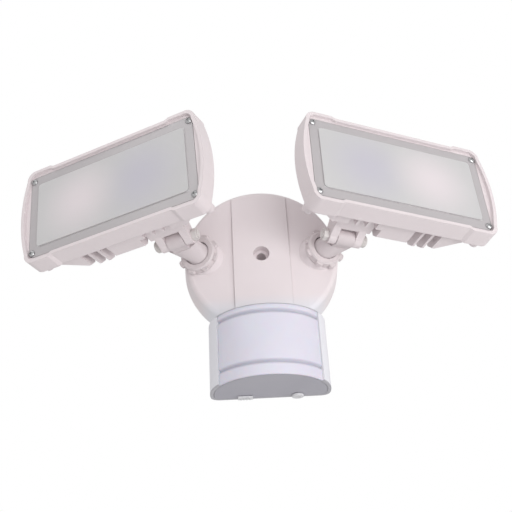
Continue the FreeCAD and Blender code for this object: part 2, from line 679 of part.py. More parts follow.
def pir_board():
    y = PIR_BOARD_Y
    return box(-PIR_BOARD_HALF_W, PIR_BOARD_HALF_W, y, y + BOARD_T,
               CONTROL_Z + BOARD_T + SEAT, PIR_BOARD_TOP)


def pir_detector():
    """Metal can of the heat detector with its raised flange and its window."""
    y = PIR_BOARD_Y - TOUCH
    front = y - CAN_LEN
    flange = rod(CAN_FLANGE_R, (0, y, PIR_Z), (0, y - CAN_FLANGE_T, PIR_Z))
    can = rod(CAN_R, (0, y - CAN_FLANGE_T / 2, PIR_Z), (0, front, PIR_Z))
    window = box(-CAN_WINDOW_HALF_W, CAN_WINDOW_HALF_W, front - 0.7, front + CAN_WINDOW_DEPTH,
                 PIR_Z - CAN_WINDOW_HALF_H, PIR_Z + CAN_WINDOW_HALF_H)
    return fused([flange, can]).cut(window)


# ---- arms ----------------------------------------------------------------------------------------

def ellipse_wire(half_l, half_h, middle):
    """An ellipse across the depth, half_l wide and half_h high to each side."""
    edge = Part.Ellipse(Vec(0, 0, 0), half_l, half_h).toShape()
    edge.rotate(Vec(0, 0, 0), Vec(1, 0, 0), 90)
    edge.translate(middle)
    return Part.Wire(edge)


def arm():
    """Ball, fan-shaped neck and knuckle of one arm. The ball's centre is the origin."""
    pin = Vec(HINGE_SIDE, -HINGE_OUT, HINGE_UP)
    shoulder_y = -HINGE_OUT + EAR_R + SHOULDER_GAP
    ball = Part.makeSphere(BALL_R, Vec(0, 0, 0))
    neck = Part.makeLoft([
        ellipse_wire(BELL_R, BELL_R, Vec(0, -BELL_START, 0)),
        ellipse_wire(SHOULDER_HALF_W, KNUCKLE_R, Vec(pin.x, shoulder_y, pin.z))], True, True)
    left = pin.x - KNUCKLE_HALF_W
    right = pin.x + KNUCKLE_HALF_W
    half_h = KNUCKLE_R - SHOULDER_GAP
    web = box(left, right, pin.y, shoulder_y + 1, pin.z - half_h, pin.z + half_h)
    barrel = rod(KNUCKLE_R, (left, pin.y, pin.z), (right, pin.y, pin.z))
    solid = fused([ball, neck, web, barrel])
    bore = rod(WIRE_BORE_R, (0, BALL_R + 1, 0), (0, -WIRE_BORE_END, 0))
    hole = rod(BOLT_R + BOLT_FIT, (left - 1, pin.y, pin.z), (right + 1, pin.y, pin.z))
    return solid.cut([bore, hole])


def lock_ring():
    """Locking ring on the socket's collar, with lugs that a hand turns it by."""
    front = -RING_FRONT
    back = SOCKET_FACE - RING_GAP
    inside = SOCKET_FACE - COLLAR_LEN - RING_GAP
    ring = rod(RING_R, (0, back, 0), (0, front, 0))
    rim = [e for e in ring.Edges if e.BoundBox.YMax < front + 0.1]
    ring = ring.makeChamfer(RING_CHAMFER, rim)
    lugs = []
    for k in range(LUGS):
        lug = box(RING_R - 3, LUG_R, front + LUG_FRONT, back - LUG_BACK, -LUG_W / 2, LUG_W / 2)
        lug = lug.makeFillet(LUG_ROUND, [e for e in lug.Edges if is_lug_tip(e)])
        lug.rotate(Vec(0, 0, 0), Vec(0, 1, 0), 360.0 * (k + 0.5) / LUGS)
        lugs.append(lug)
    thread = rod(COLLAR_R + RING_FIT, (0, 10, 0), (0, inside, 0))
    mouth = Part.makeCone(BALL_R + BALL_FIT, RING_MOUTH_R, inside - front,
                          Vec(0, inside, 0), Vec(0, -1, 0))
    return fused([ring] + lugs).cut([thread, mouth])


def is_lug_tip(edge):
    """The two long edges at the outer end of a lug, before it is turned to its place."""
    reach = edge.BoundBox
    return reach.XMin > LUG_R - 0.01 and reach.YLength > 1


# ---- lamp heads ----------------------------------------------------------------------------------

def rounded_wire(half_l, half_h, corner, y):
    """A rectangle with round corners, across the depth."""
    inner_l = half_l - corner
    inner_h = half_h - corner
    bend = corner * math.sqrt(0.5)
    corners = []
    for sx, sz in ((1, 1), (-1, 1), (-1, -1), (1, -1)):
        a = (sx * half_l, y, sz * inner_h)
        b = (sx * inner_l, y, sz * half_h)
        m = (sx * (inner_l + bend), y, sz * (inner_h + bend))
        corners.append((a, m, b) if sx * sz > 0 else (b, m, a))
    edges = []
    for k, (a, m, b) in enumerate(corners):
        edges.append(arc(a, m, b))
        edges.append(line(b, corners[(k + 1) % 4][0]))
    return Part.Wire(edges)


def rounded(half_l, half_h, corner, y, depth):
    """A plate with round corners, from y back by depth."""
    return Part.Face(rounded_wire(half_l, half_h, corner, y)).extrude(Vec(0, depth, 0))


def head_wire(inset, y):
    """Outline of a head: long sides with proud corners, and short ends that bow out."""
    mid = HEAD_HALF_H - inset
    pad = HEAD_HALF_H + PAD_PROUD - inset
    side = HEAD_HALF_L - inset
    corner = HEAD_CORNER - inset * 0.5
    bow = side + HEAD_BOW
    step0 = PAD_START
    step1 = PAD_START + PAD_RAMP
    bend = corner * 0.33
    quarter = []
    for sx, sz in ((1, 1), (-1, 1), (-1, -1), (1, -1)):
        points = [
            (sx * side, y, sz * (pad - corner)),
            (sx * (side - bend + 0.5), y, sz * (pad - bend + 0.5)),
            (sx * (side - corner), y, sz * pad),
            (sx * step1, y, sz * pad),
            (sx * step0, y, sz * mid),
        ]
        quarter.append(points if sx * sz > 0 else points[::-1])
    edges = []
    for k, points in enumerate(quarter):
        ahead = quarter[(k + 1) % 4]
        if k % 2 == 0:
            edges.append(arc(*points[0:3]))
            edges.append(line(points[2], points[3]))
            edges.append(line(points[3], points[4]))
            edges.append(line(points[4], ahead[0]))
        else:
            edges.append(line(points[0], points[1]))
            edges.append(line(points[1], points[2]))
            edges.append(arc(*points[2:5]))
            bulge = (-bow if points[4][0] < 0 else bow, y, 0)
            edges.append(arc(points[4], bulge, ahead[0]))
    return Part.Wire(edges)


def slope(u):
    """How far back the end of a row of fins may reach at this distance from the middle."""
    fall = (SLOPE_BACK - SIDE_DEPTH) / (SLOPE_END - SLOPE_START)
    return SLOPE_BACK - (u - SLOPE_START) * fall


def cooling_fin(u):
    """One fin across the back, with cut corners, thinner towards its tip."""
    root = SIDE_DEPTH - 1.0
    out = abs(u) + FIN_T / 2
    back = min(FIN_BACK, slope(out)) if out > SLOPE_START else FIN_BACK
    cut = min(FIN_CHAMFER, back - SIDE_DEPTH)
    x = u - FIN_T / 2
    plate = polygon([
        (x, root, -FIN_HALF_H), (x, back - cut, -FIN_HALF_H),
        (x, back, -FIN_HALF_H + cut), (x, back, FIN_HALF_H - cut),
        (x, back - cut, FIN_HALF_H), (x, root, FIN_HALF_H),
    ], (FIN_T, 0, 0))
    lean = (FIN_T - FIN_TIP_T) / 2
    low = -FIN_HALF_H - 1
    wedge = polygon([
        (u - FIN_T / 2, root, low), (u + FIN_T / 2, root, low),
        (u + FIN_T / 2 - lean, back, low), (u - FIN_T / 2 + lean, back, low),
    ], (0, 0, 2 * FIN_HALF_H + 2))
    return plate.common(wedge)


def end_wall(side, low):
    """Wall that joins the ends of the sloping fins, on one side of the head."""
    root = SIDE_DEPTH - 1.0
    start = FIN_FIRST + 2 * FIN_PITCH - FIN_T / 2
    tip = SLOPE_BACK - FIN_CHAMFER
    points = [(start, root), (start, tip), (SLOPE_START, tip), (SLOPE_END, SIDE_DEPTH),
              (SLOPE_END, root)]
    return polygon([(side * u, y, low) for u, y in points], (0, 0, END_WALL_T))


def head_fins():
    """The two rows of cooling fins, the block between them and the walls at their ends."""
    pieces = []
    for side in (-1, 1):
        for k in range(FINS_A_SIDE):
            pieces.append(cooling_fin(side * (FIN_FIRST + k * FIN_PITCH)))
        for low in (-FIN_HALF_H, FIN_HALF_H - END_WALL_T):
            pieces.append(end_wall(side, low))
    root = SIDE_DEPTH - 1.0
    block = box(-BLOCK_HALF_W, BLOCK_HALF_W, root, BLOCK_BACK, -FIN_HALF_H, FIN_HALF_H)
    edges = [e for e in block.Edges if e.BoundBox.YMin > BLOCK_BACK - 0.1]
    pieces.append(block.makeChamfer(FIN_CHAMFER - 1, edges))
    return pieces


def bracket():
    """Block on the back that carries the ears, next to the block between the rows of fins."""
    half = KNUCKLE_HALF_W + FIT + EAR_T
    back = HINGE_BACK - KNUCKLE_R - BRACKET_GAP
    low = -HINGE_DOWN - 0.5
    high = -HINGE_DOWN + EAR_R + EAR_ROOT_H
    block = box(-HINGE_U - half, -BLOCK_HALF_W + 2, SIDE_DEPTH - 1, back, low, high)
    edges = [e for e in block.Edges if e.BoundBox.YMin > back - 0.1 and e.BoundBox.XLength > 5]
    return block.makeChamfer(BRACKET_CHAMFER, edges)


def ear(u0):
    """One of the two ears that hold the tilt bolt, u0 to u0 + EAR_T along the head."""
    y = HINGE_BACK
    z = -HINGE_DOWN
    eye = rod(EAR_R, (u0, y, z), (u0 + EAR_T, y, z))
    root = HINGE_BACK - KNUCKLE_R - BRACKET_GAP - EAR_ROOT_DEPTH
    web = polygon([(u0, root, z), (u0, y, z - EAR_R), (u0, y, z + EAR_R),
                   (u0, root, z + EAR_ROOT_H)], (EAR_T, 0, 0))
    return eye.fuse(web)


def screw_places():
    return [(u, v) for u in (-SCREW_U, SCREW_U) for v in (-SCREW_V, SCREW_V)]


def head_housing():
    """Cast housing of one head. Its middle is the middle of the lens flange's face."""
    front = head_wire(0, -RIM_FRONT)
    back = head_wire(-HEAD_FLARE, SIDE_DEPTH)
    pan = Part.makeLoft([front, back], True, True)
    body = Part.makeLoft([
        rounded_wire(BODY_HALF_L, BODY_HALF_H, BODY_CORNER, SIDE_DEPTH - 1),
        rounded_wire(BODY_HALF_L - BODY_TAPER, BODY_HALF_H - BODY_TAPER,
                     BODY_CORNER - BODY_TAPER / 2, BODY_BACK)], True, True)
    u = -HINGE_U
    inner = KNUCKLE_HALF_W + FIT
    bosses = [rod(SCREW_BOSS_R, (su, 4, sv), (su, SIDE_DEPTH + SCREW_BOSS_BACK, sv))
              for su, sv in screw_places()]
    room = box(u - inner - EAR_T - NUT_T - 1.5, u + inner + EAR_T + BOLT_HEAD_T + 1.0,
               BODY_BACK, FIN_BACK + 1, -FIN_HALF_H - 1, -HINGE_DOWN + EAR_R + HINGE_ROOM)
    fins = [piece.cut(room) for piece in head_fins()]
    ears = [ear(u - inner - EAR_T), ear(u + inner)]
    solid = fused([pan, body] + fins + [bracket()] + ears + bosses)
    ledge = LENS_FLANGE_T + GASKET_T
    lip = Part.Face(head_wire(RIM_W, -RIM_FRONT - 1)).extrude(Vec(0, RIM_FRONT + 1, 0))
    seat = rounded(LENS_HALF_L + FIT, LENS_HALF_H + FIT, LENS_CORNER + FIT, -1, 1 + ledge)
    cavity = rounded(CAVITY_HALF_L, CAVITY_HALF_H, CAVITY_CORNER, 0, BODY_BACK - FLOOR_T)
    cuts = [lip, seat, cavity]
    for su, sv in screw_places():
        cuts.append(rod(SCREW_R, (su, 0, sv), (su, SCREW_LEN + 1, sv)))
    reach = inner + EAR_T + 1
    pin = rod(BOLT_R + BOLT_FIT, (u - reach, HINGE_BACK, -HINGE_DOWN),
              (u + reach, HINGE_BACK, -HINGE_DOWN))
    return solid.cut(cuts + [pin])


def head_lens():
    """Frosted cover with its raised window."""
    flange = rounded(LENS_HALF_L, LENS_HALF_H, LENS_CORNER, 0, LENS_FLANGE_T)
    window = rounded(WINDOW_HALF_L, WINDOW_HALF_H, WINDOW_CORNER, -LENS_RAISED, LENS_RAISED + 1)
    cover = flange.fuse(window)
    pocket = rounded(WINDOW_HALF_L - WINDOW_WALL, WINDOW_HALF_H - WINDOW_WALL, WINDOW_CORNER - 1,
                     WINDOW_T - LENS_RAISED, LENS_FLANGE_T)
    cuts = [pocket]
    for su, sv in screw_places():
        cuts.append(rod(SCREW_R + 0.2, (su, -2, sv), (su, 5, sv)))
    return cover.cut(cuts)


def lens_gasket():
    y = LENS_FLANGE_T + 0.03
    ring = rounded(LENS_HALF_L - 0.5, LENS_HALF_H - 0.5, LENS_CORNER, y, GASKET_T - 0.06)
    hole = rounded(CAVITY_HALF_L + 0.4, CAVITY_HALF_H + 0.4, CAVITY_CORNER, y - 1, 5)
    cuts = [hole]
    for su, sv in screw_places():
        cuts.append(rod(SCREW_R + 0.3, (su, 0, sv), (su, 6, sv)))
    return ring.cut(cuts)


def lens_screws():
    pieces = []
    for su, sv in screw_places():
        head = Part.makeSphere(SCREW_DOME_R, Vec(su, SCREW_DOME_BACK, sv))
        head = head.common(rod(SCREW_HEAD_R, (su, -3, sv), (su, -0.03, sv)))
        shank = rod(SCREW_R - 0.1, (su, -0.6, sv), (su, SCREW_LEN - 1, sv))
        cross = [box(su - a, su + a, -3, -CROSS_FLOOR, sv - b, sv + b)
                 for a, b in ((CROSS_HALF_L, CROSS_HALF_W), (CROSS_HALF_W, CROSS_HALF_L))]
        pieces.append(head.fuse(shank).cut(cross))
    return Part.makeCompound(pieces)


def reflector():
    """Tray with two tapered cups, one for each light source."""
    top = LENS_FLANGE_T + GASKET_T + 0.3
    floor = BODY_BACK - FLOOR_T - BOARD_T - LED_T - 0.6
    tray = rounded(CAVITY_HALF_L - FIT, CAVITY_HALF_H - FIT, CAVITY_CORNER - FIT, top, floor - top)
    cuts = []
    for side in (-1, 1):
        middle = side * CUP_U
        mouth = loop(middle, CUP_HALF_L, CAVITY_HALF_H - FIT - REFLECTOR_T, top - 0.01)
        throat = loop(middle, CUP_FLOOR, CUP_FLOOR, floor + 0.01)
        cuts.append(Part.makeLoft([mouth, throat], True, True))
    return tray.cut(cuts)


def loop(middle, half_l, half_h, y):
    points = [(middle - half_l, y, -half_h), (middle + half_l, y, -half_h),
              (middle + half_l, y, half_h), (middle - half_l, y, half_h)]
    ends = points[1:] + points[:1]
    return Part.Wire([line(a, b) for a, b in zip(points, ends)])


def led_board():
    y = BODY_BACK - FLOOR_T - TOUCH
    return box(-LED_BOARD_HALF_L, LED_BOARD_HALF_L, y - BOARD_T, y,
               -LED_BOARD_HALF_H, LED_BOARD_HALF_H)


def leds():
    y = BODY_BACK - FLOOR_T - BOARD_T - 2 * TOUCH
    return Part.makeCompound([
        box(side * CUP_U - LED_HALF, side * CUP_U + LED_HALF, y - LED_T, y, -LED_HALF, LED_HALF)
        for side in (-1, 1)])


def hexagon(across_flats, x0, x1, y, z):
    radius = across_flats / math.sqrt(3)
    points = [(x0, y + radius * math.cos(math.radians(60 * k)),
               z + radius * math.sin(math.radians(60 * k))) for k in range(6)]
    return polygon(points, (x1 - x0, 0, 0))


def hinge_bolt():
    """Tilt bolt: round head on the outer ear, shank through both ears and the knuckle."""
    half = KNUCKLE_HALF_W + FIT + EAR_T
    u = -HINGE_U
    y, z = HINGE_BACK, -HINGE_DOWN
    head = rod(BOLT_HEAD_R, (u + half + TOUCH, y, z), (u + half + BOLT_HEAD_T, y, z))
    rim = [e for e in head.Edges if e.BoundBox.XMin > u + half + BOLT_HEAD_T - 0.1]
    head = head.makeFillet(BOLT_HEAD_ROUND, rim)
    shank = rod(BOLT_R, (u + half + 0.5, y, z), (u - half - NUT_T - BOLT_END, y, z))
    return head.fuse(shank)


def hinge_nut():
    half = KNUCKLE_HALF_W + FIT + EAR_T
    u = -HINGE_U
    y, z = HINGE_BACK, -HINGE_DOWN
    nut = hexagon(NUT_AF, u - half - NUT_T, u - half - TOUCH, y, z)
    return nut.cut(rod(BOLT_R + 0.02, (u - half - NUT_T - 1, y, z), (u, y, z)))


# ---- assembly ------------------------------------------------------------------------------------

def to_head(shape, side):
    """Carries a piece from a head's own frame through the tilt pin to its place."""
    piece = shape.copy()
    piece.translate(Vec(HINGE_U, -HINGE_BACK, HINGE_DOWN))
    piece.rotate(Vec(0, 0, 0), Vec(1, 0, 0), HEAD_TILT[side])
    piece.translate(Vec(HINGE_SIDE, -HINGE_OUT, HINGE_UP))
    return to_arm(piece, side)


def main():
    os.makedirs("parts", exist_ok=True)
    fixed = {
        "canopy_housing": canopy_housing,
        "wiring_tray": wiring_tray,
        "tray_screws": tray_screws,
        "wall_gasket": wall_gasket,
        "wire_grommet": wire_grommet,
        "driver_board": driver_board,
        "driver_transformer": driver_transformer,
        "driver_capacitors": driver_capacitors,
        "relay": relay,
        "sensor_lens": sensor_lens,
        "sensor_bottom_cover": sensor_bottom_cover,
        "time_switch": time_switch,
        "range_dial": range_dial,
        "switch_body": switch_body,
        "potentiometer": potentiometer,
        "control_board": control_board,
        "pir_board": pir_board,
        "pir_detector": pir_detector,
    }
    for name, make in fixed.items():
        save(name, make())
    ring = lock_ring()
    knuckle = arm()
    on_head = {
        "head_housing": head_housing(),
        "head_lens": head_lens(),
        "lens_gasket": lens_gasket(),
        "lens_screws": lens_screws(),
        "reflector": reflector(),
        "led_board": led_board(),
        "leds": leds(),
        "hinge_bolt": hinge_bolt(),
        "hinge_nut": hinge_nut(),
    }
    for side in ("left", "right"):
        save("lock_ring_" + side, to_socket(ring, side))
        save("arm_" + side, to_arm(knuckle, side))
        for name, shape in on_head.items():
            save(name + "_" + side, to_head(shape, side))


main()
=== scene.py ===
# %% [markdown]
# # A motion sensor security light
# This light hangs on an outside wall. Two LED heads stand on ball-joint arms, a round canopy covers
# the wall box, and a wide half-round sensor hangs below it. The solids come from the CAD frame, so
# this file does not shape the light again. It gives each piece the finish that its real material
# has, adds the knurling of the bolts and the soft channels of the sensor's lens, and sets up the
# camera and the light of a product photograph.

import json
import math

import bpy
from mathutils import Matrix, Vector


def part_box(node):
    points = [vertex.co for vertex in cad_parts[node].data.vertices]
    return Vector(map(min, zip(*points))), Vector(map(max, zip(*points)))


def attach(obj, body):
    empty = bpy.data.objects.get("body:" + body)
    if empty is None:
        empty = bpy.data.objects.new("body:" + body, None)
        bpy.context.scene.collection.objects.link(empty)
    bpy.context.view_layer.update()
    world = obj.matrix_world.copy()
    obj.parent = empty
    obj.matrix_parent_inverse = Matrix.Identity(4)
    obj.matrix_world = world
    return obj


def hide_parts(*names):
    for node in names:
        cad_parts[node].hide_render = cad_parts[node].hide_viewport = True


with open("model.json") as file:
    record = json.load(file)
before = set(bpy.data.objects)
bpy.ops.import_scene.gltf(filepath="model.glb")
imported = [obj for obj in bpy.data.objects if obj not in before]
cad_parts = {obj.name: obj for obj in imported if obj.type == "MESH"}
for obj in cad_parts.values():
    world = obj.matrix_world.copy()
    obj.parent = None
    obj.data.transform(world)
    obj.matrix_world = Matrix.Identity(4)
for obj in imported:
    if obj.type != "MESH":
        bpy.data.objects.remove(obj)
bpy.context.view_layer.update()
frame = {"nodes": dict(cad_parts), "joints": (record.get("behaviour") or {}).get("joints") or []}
MM = 0.001
nodes = frame["nodes"]
joints = {joint["name"]: joint for joint in frame["joints"]}
SIDES = ("left", "right")

# %% [markdown]
# ## Two helpers for node trees
# Materials and Geometry Nodes trees are both made of nodes, so one small function adds a node to
# either kind. It takes the inputs by name or number. A node given there is linked by the output that
# it has in use, a socket is linked as it is, and any other value is set. Colours are written as the
# hex values of a paint chart and turned to linear light, because the shader computes with that.

# %% Node and colour helpers
FACTOR, FIRST, SECOND = 0, 6, 7    # inputs of a Mix node that mixes colours


def colour(hex_value):
    """Red, green, blue and alpha in linear light. The numbers are those of the sRGB standard."""
    parts = [int(hex_value[k:k + 2], 16) / 255 for k in (1, 3, 5)]
    return [c / 12.92 if c <= 0.04045 else ((c + 0.055) / 1.055) ** 2.4 for c in parts] + [1.0]


def add(tree, kind, inputs=None, **settings):
    """The settings go first, because they decide which sockets the node uses."""
    node = tree.nodes.new(kind)
    for name, value in settings.items():
        setattr(node, name, value)
    for name, value in (inputs or {}).items():
        if isinstance(value, bpy.types.Node):
            value = next(output for output in value.outputs if output.enabled)
        if isinstance(value, bpy.types.NodeSocket):
            tree.links.new(value, node.inputs[name])
        else:
            node.inputs[name].default_value = colour(value) if isinstance(value, str) else value
    return node


print("mid grey is", round(colour("#808080")[0], 3), "in linear light")

# %% [markdown]
# ## How a finish is built
# Hardly any real surface is one flat colour. Moulded plastic, powder coat and rubber all have a
# slow drift of tone over some centimetres, a fine grain from the tool or the spray, and a gloss
# that follows that grain. The same three layers make each of them: a coarse noise mixes two close
# colours, a fine noise bends the surface, and the roughness moves a little with the fine noise. No
# moulded or coated edge is quite sharp either, so a bevel node bends the light round it. Every size
# is given in real millimetres, which is why the scales divide by them.

# %% The three layers of a finish
DRIFT_DETAIL = 3.0
GRAIN_DETAIL = 2.0


def scale_of(size_mm):
    """A noise texture's scale counts how many of its spots lie in a metre."""
    return 1 / (size_mm * MM)


def start(name):
    material = bpy.data.materials.new(name)
    material.use_nodes = True
    material.node_tree.nodes.clear()
    return material, material.node_tree


def layers(tree, drift_mm, grain_mm, grain_depth_mm, rough, edge_mm=0.5):
    """The place, the drift of tone, the gloss and the bent normal that a finish starts from."""
    place = add(tree, "ShaderNodeTexCoord").outputs["Object"]
    drift, grain = (
        add(tree, "ShaderNodeTexNoise", {"Vector": place, "Scale": scale_of(size), "Detail": detail})
        for size, detail in ((drift_mm, DRIFT_DETAIL), (grain_mm, GRAIN_DETAIL)))
    gloss = add(tree, "ShaderNodeMapRange", {"Value": grain, "To Min": rough[0], "To Max": rough[1]})
    edge = add(tree, "ShaderNodeBevel", {"Radius": edge_mm * MM}, samples=4)
    bump = add(tree, "ShaderNodeBump",
               {"Height": grain, "Distance": grain_depth_mm * MM, "Normal": edge})
    return place, drift, gloss, bump


print("spots of 1 mm have the scale", round(scale_of(1)))


# %% From the layers to a finished piece
def close(tree, tone, gloss, normal, **shader):
    """Puts the layers on a surface and ends the material."""
    body = add(tree, "ShaderNodeBsdfPrincipled",
               {"Base Color": tone, "Roughness": gloss, "Normal": normal, **shader})
    add(tree, "ShaderNodeOutputMaterial", {"Surface": body})


def finish(name, dark, light, drift_mm, grain_mm, grain_depth_mm, rough, **shader):
    """Two close colours that drift over drift_mm, and a grain of grain_mm. rough is a range."""
    material, tree = start(name)
    _, drift, gloss, normal = layers(tree, drift_mm, grain_mm, grain_depth_mm, rough)
    tone = add(tree, "ShaderNodeMix", {FACTOR: drift, FIRST: dark, SECOND: light}, data_type="RGBA")
    close(tree, tone, gloss, normal, **shader)
    return material


def dress(material, *names):
    """Gives this material to CAD nodes, whose meshes stay as they are."""
    for name in names:
        for material_slot in nodes[name].material_slots:
            material_slot.material = material
    print(material.name, "->", ", ".join(names))


def both(*names):
    return [f"{name}_{side}" for name in names for side in SIDES]


print("pieces that come in pairs:", sum(name.endswith("_left") for name in nodes))

# %% [markdown]
# ## White mouldings
# The canopy with the sensor's case, the bottom cover and the locking rings are moulded in ASA, the
# plastic that stays white in the sun. The mould is lightly spark eroded, so the plastic has a fine
# even grain and a soft satin shine. The canopy's white is warm, with a touch of pink. Round the
# sensor it turns cooler, lilac at the hood and a plain pale grey at the sides. The locking rings are
# a shade darker, the cover under the sensor is a darker grey, and the rim of the case round the
# cover has that grey too: all three are painted shade on the same white plastic. The change of tone
# follows the height and the distance from the middle, which the object's own coordinates give.

# %% Moulded ASA
CASE_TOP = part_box("sensor_lens")[1].z + 36 * MM    # the warm white begins here
CASE_FADE = 14 * MM                                # and has faded out this far below
CASE_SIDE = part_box("sensor_lens")[1].x             # the plain sides begin about here
SIDE_FADE = 1 * MM
CASE_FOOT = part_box("canopy_housing")[0].z          # the case ends here
RIM = 0.5 * MM                                     # height of the painted shade along the case's rim and of its fading
HOUSING_EDGE_MM = 1.0                              # the housing's edges are the roundest


def housing_white():
    material, tree = start("moulded_asa_housing")
    place, drift, gloss, normal = layers(tree, 45, 0.7, 0.03, (0.42, 0.56), HOUSING_EDGE_MM)
    parts = add(tree, "ShaderNodeSeparateXYZ", {"Vector": place}).outputs
    aside = add(tree, "ShaderNodeMath", {0: parts["X"]}, operation="ABSOLUTE")
    side, top, rim_shade = (
        add(tree, "ShaderNodeMapRange", {"Value": value, "From Min": low, "From Max": high},
            interpolation_type="SMOOTHSTEP")
        for value, low, high in ((aside, CASE_SIDE - SIDE_FADE, CASE_SIDE + SIDE_FADE),
                                 (parts["Z"], CASE_TOP - CASE_FADE, CASE_TOP),
                                 (parts["Z"], CASE_FOOT + 2 * RIM, CASE_FOOT + RIM)))
    case, front = (
        add(tree, "ShaderNodeMix", {FACTOR: share, FIRST: first, SECOND: second}, data_type="RGBA")
        for share, first, second in ((side, "#DEDDE2", "#E1E0E6"), (drift, "#E0D6D8", "#E8DFE1")))
    tone = add(tree, "ShaderNodeMix", {FACTOR: top, FIRST: case, SECOND: front}, data_type="RGBA")
    # painted shade: the case's downward rim round the cover takes the cover's darker grey
    tone = add(tree, "ShaderNodeMix", {FACTOR: rim_shade, FIRST: tone, SECOND: "#B3B1B7"},
               data_type="RGBA")
    close(tree, tone, gloss, normal)
    return material


dress(housing_white(), "canopy_housing")
# the rings' white is a shade darker than the canopy's white: painted shade on the same ASA
dress(finish("moulded_asa_ring_in_painted_shade", "#D3C9CB", "#DCD3D4", 45, 0.7, 0.03, (0.42, 0.56)),
      *both("lock_ring"))
# the cover's grey is painted shade on white ASA, for a face that looks down
dress(finish("moulded_asa_cover_in_painted_shade", "#A3A1AB", "#AFADB4", 30, 0.7, 0.03, (0.45, 0.6)),
      "sensor_bottom_cover")

# %% [markdown]
# ## Powder-coated castings
# Heads and arms are die-cast aluminium under a powder coat. The powder melts into a skin with a
# faint orange peel, waves of one or two millimetres, and it is a little glossier than the plastic.
# The coat hides the metal, so the shader is not metallic. The arms get the same coat, a little
# duller and a shade darker than on the heads; the darker tone is painted shade.

# %% Powder coat
dress(finish("powder_coat_on_die_cast_aluminium", "#D9CFD1", "#E3D9DB", 60, 1.6, 0.05,
             (0.36, 0.5), **{"Coat Weight": 0.15, "Coat Roughness": 0.3}), *both("head_housing"))
# a shade darker than the heads' coat: painted shade on the arms
dress(finish("powder_coat_on_cast_arms_in_painted_shade", "#CCC2C4", "#D6CCCE", 60, 1.6, 0.05, (0.4, 0.54)),
      *both("arm"))

# %% [markdown]
# ## Where each head points
# The lens cover of a head has its own pattern: a frosted window with a clear border. That pattern
# lies square to the head, and the heads are turned, so it needs the head's own axes. They are
# measured on the cover itself: the tilt pin gives the direction along the head, and the thinnest
# direction across the cover's points gives the way it faces.

# %% Measure the axes of a head
STEPS_PER_DEGREE = 4
SAMPLE = 7    # every seventh point is enough to see how thick the cover is


def spread(points, way):
    """How far the points reach along a direction."""
    reach = [point.dot(way) for point in points]
    return min(reach), max(reach)


def thickness(points, way):
    low, high = spread(points[::SAMPLE], way)
    return high - low


def head_axes(side):
    """Middle of the cover's front, and a matrix whose columns are along, back and up."""
    along = Vector(joints[f"head_{side}_tilt"]["axis"]).normalized()
    points = [vertex.co for vertex in nodes[f"head_lens_{side}"].data.vertices]
    middle = sum(points, Vector()) / len(points)
    seed = along.orthogonal().normalized()
    turned = [Matrix.Rotation(math.radians(k / STEPS_PER_DEGREE), 3, along) @ seed
              for k in range(180 * STEPS_PER_DEGREE)]
    back = min(turned, key=lambda way: thickness(points, way))
    back = back if back.y > 0 else -back
    up = -back.cross(along).normalized()
    up = up if up.z > 0 else -up
    offsets = [point - middle for point in points]
    centre = middle + back * spread(offsets, back)[0]
    for way in (along, up):
        centre = centre + way * (sum(spread(offsets, way)) / 2)
    return centre, Matrix((along, back, up)).transposed()


heads = {side: head_axes(side) for side in SIDES}
for side, (centre, axes) in heads.items():
    print(side, "head faces", [round(c, 3) for c in -axes.col[1]], "from",
          [round(c / MM, 1) for c in centre])

# %% [markdown]
# ## Frosted polycarbonate covers
# Each cover is one clear polycarbonate moulding. Its raised window has a fine blasted texture that
# spreads the light, so it looks pale grey and milky, and the flange round it is left smooth and
# darker. A Mapping node of the texture kind takes every point back into the head's own axes, and
# the window is where both distances from the middle are small. The white reflectors behind the
# frost show as two soft patches, the outer one pale and warm, the inner one a cooler lilac. Clear
# glass in front of a real reflector would need far more light paths, so the patches are part of the
# pane's colour, and only a little light really passes.

# %% Measure the window and what lies behind it
FRONT_REACH = 0.2 * MM    # points this near the front plane belong to the window's face


def in_head(side, name):
    """A node's points in the axes of its head."""
    centre, axes = heads[side]
    return [axes.transposed() @ (vertex.co - centre) for vertex in nodes[f"{name}_{side}"].data.vertices]


def window_half(side):
    """Half the length and height of the raised window, from the points of its front face."""
    front = [point for point in in_head(side, "head_lens") if point.y < FRONT_REACH]
    return max(abs(point.x) for point in front), max(abs(point.z) for point in front)


def lamp_spots(side):
    """Where the two light sources sit behind the window, outer one first."""
    points = in_head(side, "leds")
    ends = [[point for point in points if (point.x > 0) == right] for right in (False, True)]
    spots = [sum(group, Vector()) / len(group) for group in ends]
    return spots if side == "left" else spots[::-1]


for side in SIDES:
    half_length, half_height = window_half(side)
    print(side, "window", round(2 * half_length / MM, 1), "x", round(2 * half_height / MM, 1),
          "mm, lamps at", [round(spot.x / MM, 1) for spot in lamp_spots(side)])

# %% Frosted window with a clear border
BORDER_SOFT = 0.3 * MM
GLOW_REACH = 42 * MM
PANE_DRIFT_MM = 40
FROST_MM = 0.9
FROST_DEPTH = 0.04 * MM
CLEAR_ROUGH, FROST_ROUGH = 0.22, 0.5


def inside(tree, distance, half):
    """1 where the distance from the middle is less than half, 0 outside."""
    size = add(tree, "ShaderNodeMath", {0: distance}, operation="ABSOLUTE")
    return add(tree, "ShaderNodeMapRange",
               {"Value": size, "From Min": half - BORDER_SOFT, "From Max": half + BORDER_SOFT,
                "To Min": 1.0, "To Max": 0.0})


def glow(tree, local, spot):
    """1 in front of a light source, falling off to 0 at GLOW_REACH."""
    flat = add(tree, "ShaderNodeVectorMath", {0: local, 1: (1, 0, 1)}, operation="MULTIPLY")
    away = add(tree, "ShaderNodeVectorMath", {0: flat, 1: (spot.x, 0, spot.z)},
               operation="DISTANCE")
    return add(tree, "ShaderNodeMapRange", {"Value": away, "From Min": GLOW_REACH, "From Max": 0.0},
               interpolation_type="SMOOTHSTEP")


